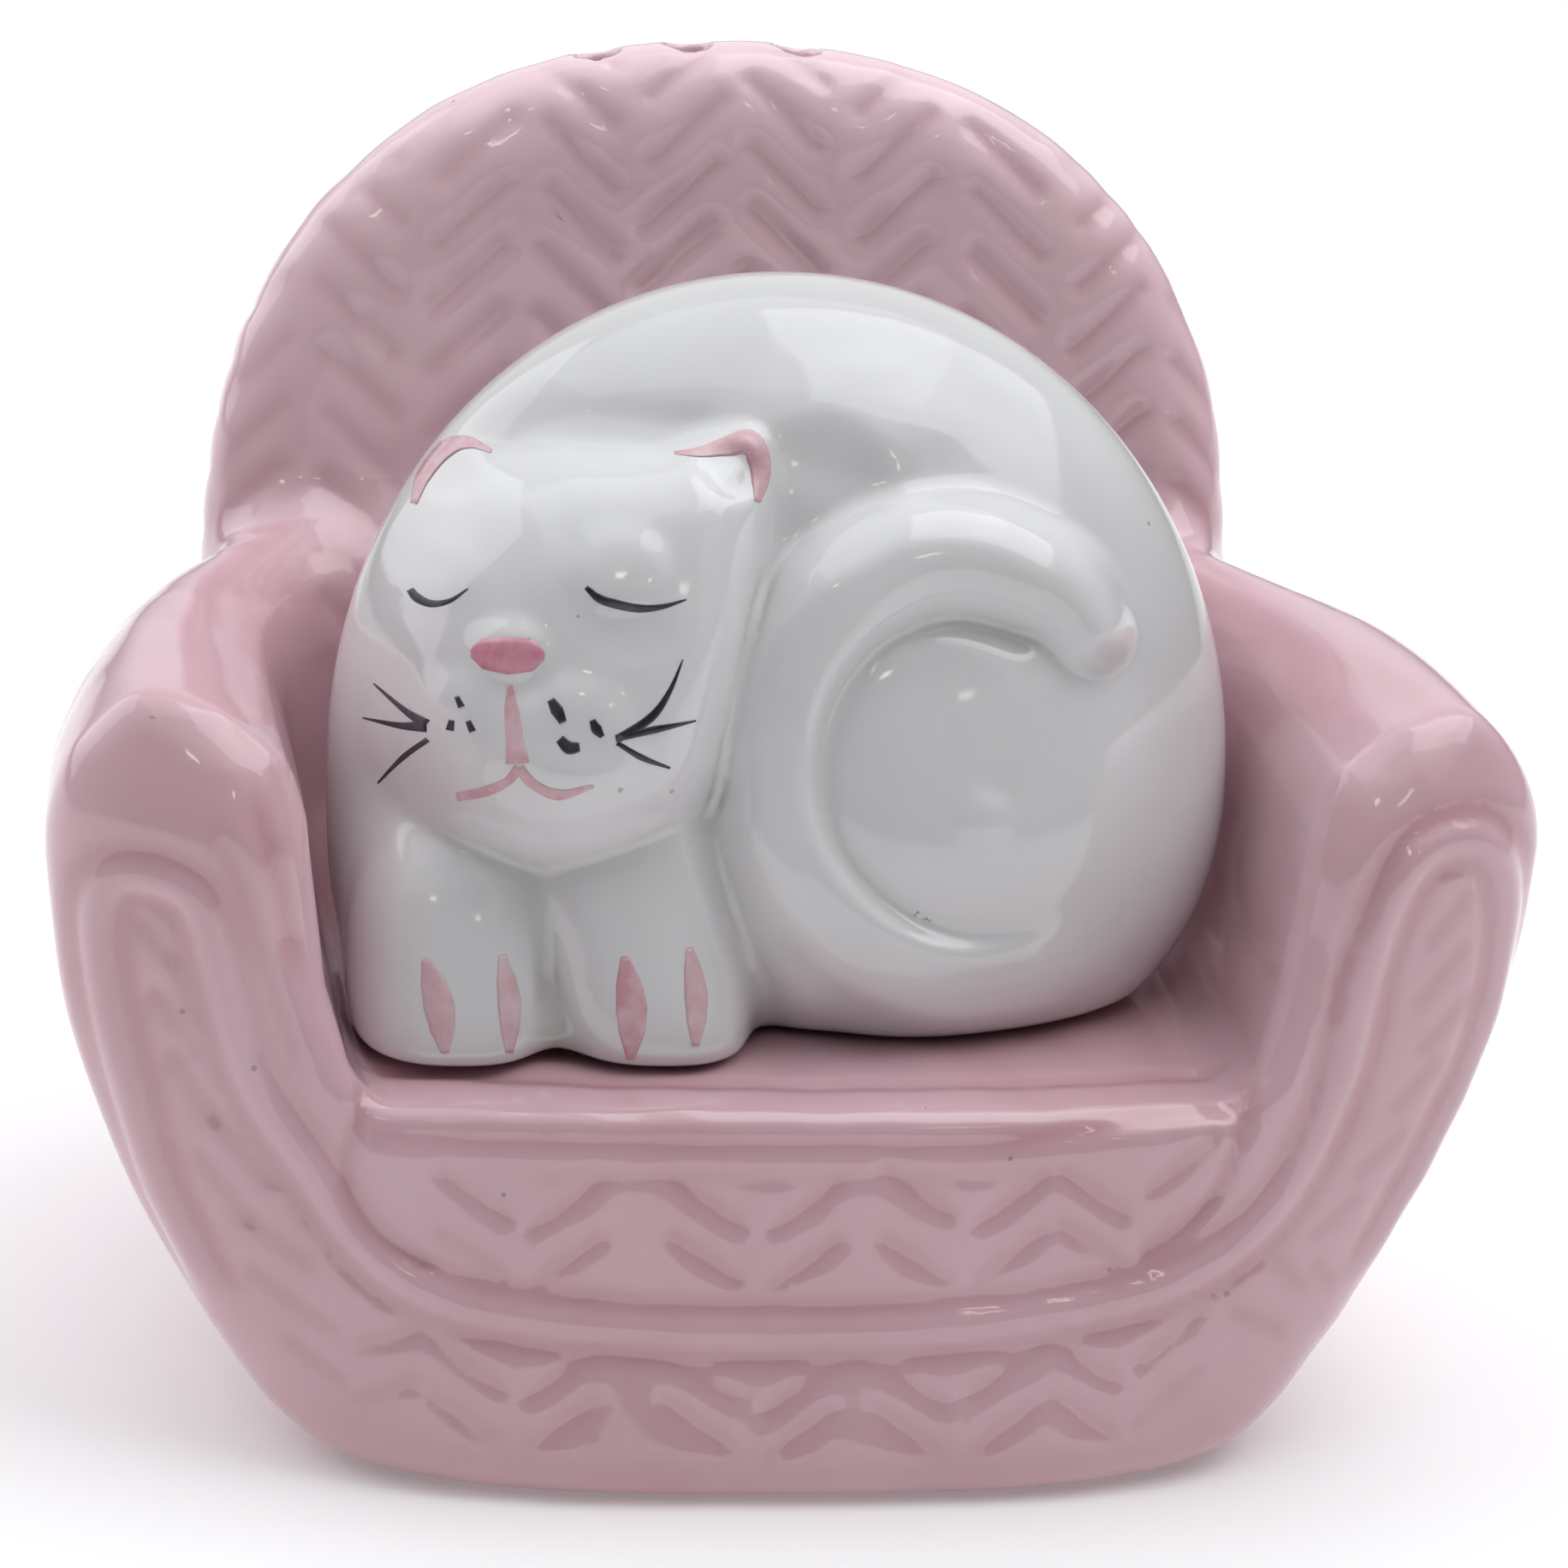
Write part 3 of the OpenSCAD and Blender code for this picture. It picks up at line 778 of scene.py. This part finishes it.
def glaze(name, thin, mid, thick, rough, cloud):
    """Glossy pottery glaze: pale where it runs thin, deeper where it pools, with faint clouding and pin specks."""
    n = Nodes(name)
    # the attribute holds glaze pooling, and on the chair also painted light that pales the back and arm tops
    pool_and_painted_light = n.attr("pool_and_painted_light")
    c = n.ramp(n.span(pool_and_painted_light, -1, 1, 0, 1), [(0.0, thin), (0.5, mid), (0.78, tuple(0.45 * a + 0.55 * b for a, b in zip(mid, thick))), (1.0, thick)])
    patches = n.noise(55, 3.0, 0.55)
    c = n.mix(c, cloud, n.span(patches, 0.35, 0.7, 0.0, 0.28))
    streaks = n.noise(160, 2.0, 0.5, stretch=(1, 1, 0.35))
    c = n.mix(c, n.ramp(streaks, [(0.0, (0.93, 0.92, 0.93)), (1.0, (1.04, 1.04, 1.05))]), 0.8, "MULTIPLY")
    v = n.add("ShaderNodeTexVoronoi", feature="F1")
    v.inputs["Scale"].default_value = 210
    n.link(n.coord, v.inputs["Vector"])
    speck = n.math("MULTIPLY", n.math("LESS_THAN", v.outputs["Distance"], 0.045), n.math("GREATER_THAN", n.noise(40, 0), 0.60))
    c = n.mix(c, tuple(0.42 * a for a in mid), n.math("MULTIPLY", speck, 0.6))
    n.set(Base_Color=c, Roughness=n.span(n.noise(300, 2.0), 0.3, 0.7, rough * 0.75, rough * 1.35))
    n.bsdf.inputs["IOR"].default_value = 1.52
    n.bsdf.inputs["Coat Weight"].default_value = 0.35
    n.bsdf.inputs["Coat Roughness"].default_value = 0.03
    slow = n.noise(95, 1.5, 0.45)
    fine = n.noise(900, 2.0, 0.5)
    n.bump(n.math("ADD", slow, n.math("MULTIPLY", fine, 0.045)), 0.55, 0.00035)
    return n.mat


def enamel(name, deep, pale, rough):
    """Hand-brushed overglaze colour: streaky, thinner in places, over a glossy ground."""
    n = Nodes(name)
    wash = n.noise(420, 3.0, 0.6)
    c = n.mix(deep, pale, n.span(wash, 0.38, 0.68, 0.0, 1.0))
    blot = n.noise(1500, 2.0, 0.6)
    c = n.mix(c, pale, n.span(blot, 0.5, 0.8, 0.0, 0.3))
    n.set(Base_Color=c, Roughness=n.span(n.noise(800, 2.0), 0.3, 0.7, rough, rough * 1.6))
    n.bump(n.noise(700, 2.0), 0.2, 0.00004)
    return n.mat


def soft_plastic(name):
    """Milky moulded plastic with a fine matt grain and a trace of handling dirt."""
    n = Nodes(name)
    c = n.mix((0.80, 0.78, 0.72), (0.72, 0.69, 0.61), n.span(n.noise(90, 3.0), 0.35, 0.7, 0.0, 1.0))
    c = n.mix(c, (0.55, 0.51, 0.44), n.span(n.noise(260, 4.0, 0.65), 0.62, 0.8, 0.0, 0.35))
    n.set(Base_Color=c, Roughness=n.span(n.noise(500, 2.0), 0.3, 0.7, 0.32, 0.5))
    n.bsdf.inputs["Subsurface Weight"].default_value = 0.15
    n.bsdf.inputs["Subsurface Radius"].default_value = (0.002, 0.0018, 0.0014)
    n.bump(n.noise(2600, 2.0), 0.25, 0.00003)
    return n.mat


pink_glaze = glaze("pink_glaze", (0.93, 0.675, 0.725), (0.67, 0.42, 0.465), (0.58, 0.29, 0.32), 0.085, (0.78, 0.56, 0.64))
white_glaze = glaze("white_glaze", (0.77, 0.77, 0.775), (0.69, 0.69, 0.69), (0.42, 0.41, 0.35), 0.08, (0.75, 0.745, 0.73))
pink_enamel = enamel("pink_enamel", (0.58, 0.20, 0.28), (0.70, 0.36, 0.43), 0.16)
pink_wash = enamel("pink_wash", (0.63, 0.34, 0.385), (0.73, 0.52, 0.56), 0.14)
pink_faint = enamel("pink_faint", (0.65, 0.42, 0.455), (0.72, 0.57, 0.60), 0.12)
black_enamel = enamel("black_enamel", (0.018, 0.02, 0.026), (0.06, 0.065, 0.08), 0.18)
plug_plastic = soft_plastic("soft_plug")


def dress(ob, mat):
    ob.data.materials.clear()
    ob.data.materials.append(mat)


# --------------------------------------------------------------- the castings
GRID = 0.5


def build_chair():
    lo, hi = (-52.5, -41.0, -1.5), (52.5, 40.5, 87.6)
    v, q = surface_nets(lambda p: chair(p), lo, hi, GRID)
    n = vertex_normals(v, q)
    outside = step01(chair_outer(*v.T), -1.2, -0.3) * step01(v[:, 2], 0.3, 1.6)
    h, _ = chair_relief(v, n)
    v = v + n * (h * outside)[:, None]
    ob = make_mesh("chair_casting", v, q)
    thin_out(ob, 194000)
    p, n = mesh_points(ob)
    _, pool_and_painted_light = chair_relief(p, n)
    outside = step01(chair_outer(*p.T), -1.6, -0.8)
    curve = np.clip((chair_outer(*(p + n * 1.2).T) - chair_outer(*p.T) - 1.0) * 1.2, -0.5, 0.5)
    # painted light: the back's upper part, its top edge and the outer arm tops are pushed towards the pale thin-glaze
    # colour to stand for the light they catch
    rim = 0.8 * step01(p[:, 2], 46, 66) * step01(p[:, 1], 2, 12) + 0.25 * step01(p[:, 2], 76, 85) + 0.25 * step01(np.abs(p[:, 0]), 44, 50) * step01(p[:, 2], 35, 46)
    put_attribute(ob, "pool_and_painted_light", np.clip((pool_and_painted_light - rim) * outside, -1, 1))
    return ob


def build_cat():
    lo, hi = (-33.5, -30.5, 26.6), (34.5, 14.0, 78.5)
    v, q = surface_nets(lambda p: cat(p), lo, hi, 0.4)
    ob = make_mesh("cat_casting", v, q)
    thin_out(ob, 190000)
    p, n = mesh_points(ob)
    u, w_, w = cat_local(*p.T)
    # the surface's own hollows, from how the form closes in ahead of each point
    f0 = cat_outer(*p.T)
    near = np.clip(1.0 - (cat_outer(*(p + n * 1.6).T) - f0) / 1.15, -1, 1)
    put_attribute(ob, "pool_and_painted_light", np.clip(near * 1.6, -0.6, 1) * step01(f0, -1.5, -0.7))
    return ob


# ------------------------------------------------------------------ the paint
def surface_w(u, v, lift):
    """How far out along the leaning normal the cat's glaze lies at (u, v), plus lift."""
    a = np.full(u.shape, 2.0)
    b = np.full(u.shape, 26.0)
    for _ in range(26):
        m = 0.5 * (a + b)
        inside = cat_outer(*cat_world(u, v, m).T) < 0
        a = np.where(inside, m, a)
        b = np.where(inside, b, m)
    return 0.5 * (a + b) + lift


def stroke(name, points, widths, mat, n=6, crown=0.05):
    """One brush stroke: a thin closed film that follows the glaze, with its own width along the way."""
    path = smooth_path(points, n)
    t = np.linspace(0, 1, len(path))
    w = np.interp(t, np.linspace(0, 1, len(widths)), widths) * 0.5
    d = np.gradient(path, axis=0)
    d /= np.maximum(np.linalg.norm(d, axis=1), 1e-9)[:, None]
    side = np.stack([-d[:, 1], d[:, 0]], 1)
    across = np.linspace(-1, 1, 7)
    top = path[:, None, :] + side[:, None, :] * (w[:, None] * across[None, :])[..., None]
    uu, vv = top[..., 0].ravel(), top[..., 1].ravel()
    base = surface_w(uu, vv, 0.0)
    bulge = (0.028 + crown * (1 - np.tile(across, len(path)) ** 2) * np.minimum(1, np.repeat(w, 7) * 2))
    up = cat_world(uu, vv, base + bulge)
    down = cat_world(uu, vv, base - 0.12)
    m = len(path)
    faces = []
    for i in range(m - 1):
        for j in range(6):
            a, b, c, e = i * 7 + j, i * 7 + j + 1, (i + 1) * 7 + j + 1, (i + 1) * 7 + j
            faces.append((a, e, c, b))
            faces.append((m * 7 + a, m * 7 + b, m * 7 + c, m * 7 + e))
    for i in range(m - 1):
        for j, s in ((0, 1), (6, -1)):
            a, b = i * 7 + j, (i + 1) * 7 + j
            r = (a, m * 7 + a, m * 7 + b, b)
            faces.append(r if s > 0 else r[::-1])
    for j in range(6):
        a, b = j, j + 1
        faces.append((a, b, m * 7 + b, m * 7 + a))
        a, b = (m - 1) * 7 + j, (m - 1) * 7 + j + 1
        faces.append((b, a, m * 7 + a, m * 7 + b))
    ob = make_mesh(name, np.vstack([up, down]), np.array(faces))
    dress(ob, mat)
    return ob


PINK, BLACK = (pink_enamel, "pink_enamel"), (black_enamel, "black_enamel")
WASH, FAINT = (pink_wash, "pink_enamel"), (pink_faint, "pink_enamel")
STROKES = [
    ("lash_left", [(-27.1, 11.5), (-26.7, 10.95), (-25.9, 10.6), (-24.8, 10.85), (-23.7, 11.7)], [0.45, 0.62, 0.5, 0.3, 0.1], BLACK),
    ("lash_right", [(-16.3, 12.0), (-15.5, 11.3), (-14.5, 10.95), (-12.8, 10.65), (-11.2, 10.8), (-9.6, 11.3)], [0.3, 0.55, 0.62, 0.55, 0.35, 0.1], BLACK),
    ("nose", [(-23.6, 7.35), (-22.9, 7.4), (-21.3, 7.35), (-19.8, 7.4), (-19.0, 7.4)], [0.5, 2.0, 2.55, 2.1, 0.5], PINK),
    ("philtrum", [(-21.15, 5.3), (-21.1, 3.8), (-20.9, 1.8), (-20.7, 0.2)], [0.35, 0.9, 1.1, 1.5], WASH),
    ("mouth_left", [(-20.6, -0.1), (-21.3, -1.1), (-22.6, -1.8), (-24.3, -2.3)], [0.7, 0.6, 0.75, 0.6], WASH),
    ("mouth_right", [(-20.6, -0.1), (-19.6, -1.2), (-17.9, -1.85), (-15.7, -1.2)], [0.7, 0.65, 0.75, 0.25], WASH),
    ("whisker_left_1", [(-26.3, 2.5), (-27.6, 3.4), (-29.3, 5.0)], [0.75, 0.4, 0.12], BLACK),
    ("whisker_left_2", [(-26.3, 2.4), (-27.8, 2.3), (-29.9, 2.6)], [0.85, 0.45, 0.12], BLACK),
    ("whisker_left_3", [(-26.2, 1.5), (-27.5, 0.2), (-28.9, -1.8)], [0.35, 0.35, 0.12], BLACK),
    ("whisker_right_1", [(-14.1, 2.0), (-11.9, 3.4), (-10.7, 5.1), (-9.8, 7.3)], [0.55, 0.6, 0.35, 0.1], BLACK),
    ("whisker_right_2", [(-14.3, 2.0), (-11.6, 2.6), (-8.7, 3.2)], [0.45, 0.5, 0.12], BLACK),
    ("whisker_right_3", [(-14.2, 1.7), (-12.4, 0.7), (-10.4, 0.0)], [0.3, 0.42, 0.15], BLACK),
    ("dot_left_1", [(-24.5, 4.5), (-24.2, 3.8)], [0.3, 0.45], BLACK),
    ("dot_left_2", [(-24.8, 2.9), (-24.9, 2.2)], [0.35, 0.5], BLACK),
    ("dot_left_3", [(-23.8, 2.9), (-23.5, 2.2)], [0.35, 0.45], BLACK),
    ("dot_right_1", [(-18.6, 4.5), (-18.2, 3.8), (-17.8, 3.0)], [0.5, 0.85, 0.5], BLACK),
    ("dot_right_2", [(-18.0, 1.9), (-17.4, 1.35), (-16.7, 1.4)], [0.6, 0.9, 0.6], BLACK),
    ("dot_right_3", [(-15.9, 3.2), (-15.6, 2.6), (-15.2, 2.1)], [0.4, 0.75, 0.35], BLACK),
    ("ear_left", [(-26.5, 17.3), (-25.7, 19.3), (-24.3, 21.1), (-22.9, 21.6), (-21.5, 21.0)], [0.4, 0.9, 1.15, 0.9, 0.3], WASH),
    ("ear_right", [(-9.7, 21.1), (-8.0, 21.2), (-6.2, 21.6), (-4.6, 21.9), (-3.9, 20.6), (-3.9, 19.2), (-4.2, 17.9)], [0.2, 0.7, 1.3, 1.8, 1.7, 1.3, 0.5], WASH),
]
TOES = [("toe_1", (-26.2, -13.2), (-24.8, -19.5), 2.1, FAINT), ("toe_2", (-21.0, -12.9), (-20.4, -19.5), 1.7, FAINT),
        ("toe_3", (-12.8, -12.9), (-12.2, -19.9), 2.1, WASH), ("toe_4", (-8.3, -12.3), (-7.8, -18.9), 1.7, FAINT)]


def build_paint():
    made = []
    for name, pts, widths, (mat, slot) in STROKES:
        made.append(stroke("paint_" + name, pts, widths, mat))
    for name, a, b, w, (mat, slot) in TOES:
        mid = ((a[0] + b[0]) / 2 + 0.25, (a[1] + b[1]) / 2)
        made.append(stroke("paint_" + name, [a, mid, b], [0.5, 0.8 * w, w, 0.8 * w, 0.5], mat, n=10))
    return made


chair_ob = build_chair()
dress(chair_ob, pink_glaze)
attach(chair_ob, "chair")
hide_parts("chair_shell")

cat_ob = build_cat()
dress(cat_ob, white_glaze)
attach(cat_ob, "cat")
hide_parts("cat_shell")
for ob in build_paint():
    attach(ob, "cat")

for node in ("chair_stopper", "cat_stopper"):
    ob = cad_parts[node]
    if len(ob.material_slots) == 0:
        ob.data.materials.append(plug_plastic)
    for s in ob.material_slots:
        s.material = plug_plastic

# ------------------------------------------------------------------ the stage
def stage_floor():
    me = bpy.data.meshes.new("floor")
    s = 3.0
    me.from_pydata([(-s, -s, 0), (s, -s, 0), (s, s, 0), (-s, s, 0)], [], [(0, 1, 2, 3)])
    ob = bpy.data.objects.new("floor", me)
    bpy.context.scene.collection.objects.link(ob)
    n = Nodes("floor_card")
    c = n.mix((0.90, 0.90, 0.905), (0.86, 0.86, 0.865), n.span(n.noise(9, 2.0), 0.3, 0.7, 0.0, 1.0))
    n.set(Base_Color=c, Roughness=0.75, Emission_Color=(1.0, 1.0, 1.0))
    n.bsdf.inputs["Emission Strength"].default_value = 0.16
    dress(ob, n.mat)


stage_floor()


def area(name, at, look, size, power, color=(1, 1, 1), size_y=None):
    d = bpy.data.lights.new(name, "AREA")
    d.shape = "RECTANGLE"
    d.size, d.size_y = size, size_y or size
    d.energy = power
    d.color = color
    ob = bpy.data.objects.new(name, d)
    ob.location = at
    ob.rotation_euler = (Vector(look) - Vector(at)).to_track_quat("-Z", "Y").to_euler()
    bpy.context.scene.collection.objects.link(ob)
    return ob


MID = (0, 0, 0.04)
area("top_softbox", (0.0, 0.12, 0.75), MID, 0.9, 1.2, (0.97, 0.985, 1.0), 0.7)
area("left_panel", (-0.56, 0.36, 0.38), MID, 0.6, 1.2, (0.95, 0.97, 1.0), 0.6)
area("right_panel", (0.30, 0.02, 0.62), MID, 0.6, 1.5, (0.97, 0.98, 1.0), 0.55)
area("right_fill", (0.34, -0.20, 0.50), MID, 0.4, 0.2, (1.0, 0.99, 0.98), 0.4)
area("lamp_a", (-0.16, -0.55, 0.62), MID, 0.08, 0.06, (1.0, 0.93, 0.82), 0.04)
area("lamp_b", (0.22, -0.62, 0.50), MID, 0.06, 0.035, (1.0, 0.93, 0.82), 0.04)

world = bpy.data.worlds.new("studio")
bpy.context.scene.world = world
world.use_nodes = True
wt = world.node_tree
wt.nodes.clear()
wo = wt.nodes.new("ShaderNodeOutputWorld")
bg = wt.nodes.new("ShaderNodeBackground")
wt.links.new(bg.outputs[0], wo.inputs[0])
tc = wt.nodes.new("ShaderNodeTexCoord")
dot = wt.nodes.new("ShaderNodeVectorMath")
dot.operation = "DOT_PRODUCT"
dot.inputs[1].default_value = (-0.04, 0.42, 0.907)
wt.links.new(tc.outputs["Generated"], dot.inputs[0])
mr = wt.nodes.new("ShaderNodeMapRange")
mr.interpolation_type = "SMOOTHSTEP"
for i, val in enumerate((0.30, 0.66, 0.06, 0.90)):
    mr.inputs[i + 1].default_value = val
wt.links.new(dot.outputs["Value"], mr.inputs[0])
wt.links.new(mr.outputs[0], bg.inputs["Strength"])
bg.inputs["Color"].default_value = (0.96, 0.975, 1.0, 1)

# ----------------------------------------------------------------- the camera
def camera():
    az, el, roll, dist = math.radians(-9.345), math.radians(18.808), math.radians(3.848), 0.439327
    target = np.array([0, 0.0027, 0.043])
    d = np.array([math.sin(az) * math.cos(el), -math.cos(az) * math.cos(el), math.sin(el)])
    c = target + dist * d
    right = np.cross(-d, [0, 0, 1])
    right /= np.linalg.norm(right)
    up = np.cross(right, -d)
    r2 = right * math.cos(roll) + up * math.sin(roll)
    u2 = -right * math.sin(roll) + up * math.cos(roll)
    cam = bpy.data.cameras.new("camera")
    cam.sensor_width = 36.0
    cam.lens = 7158.44 * 36.0 / 1832.0
    cam.shift_x = (916 - 876.37) / 1832
    cam.shift_y = (825.29 - 916) / 1832
    cam.clip_start, cam.clip_end = 0.02, 20
    ob = bpy.data.objects.new("camera", cam)
    bpy.context.scene.collection.objects.link(ob)
    m = np.eye(4)
    m[:3, 0], m[:3, 1], m[:3, 2], m[:3, 3] = r2, u2, d, c
    from mathutils import Matrix
    ob.matrix_world = Matrix(m.tolist())
    bpy.context.scene.camera = ob


camera()
bpy.context.scene.view_settings.view_transform = "Standard"
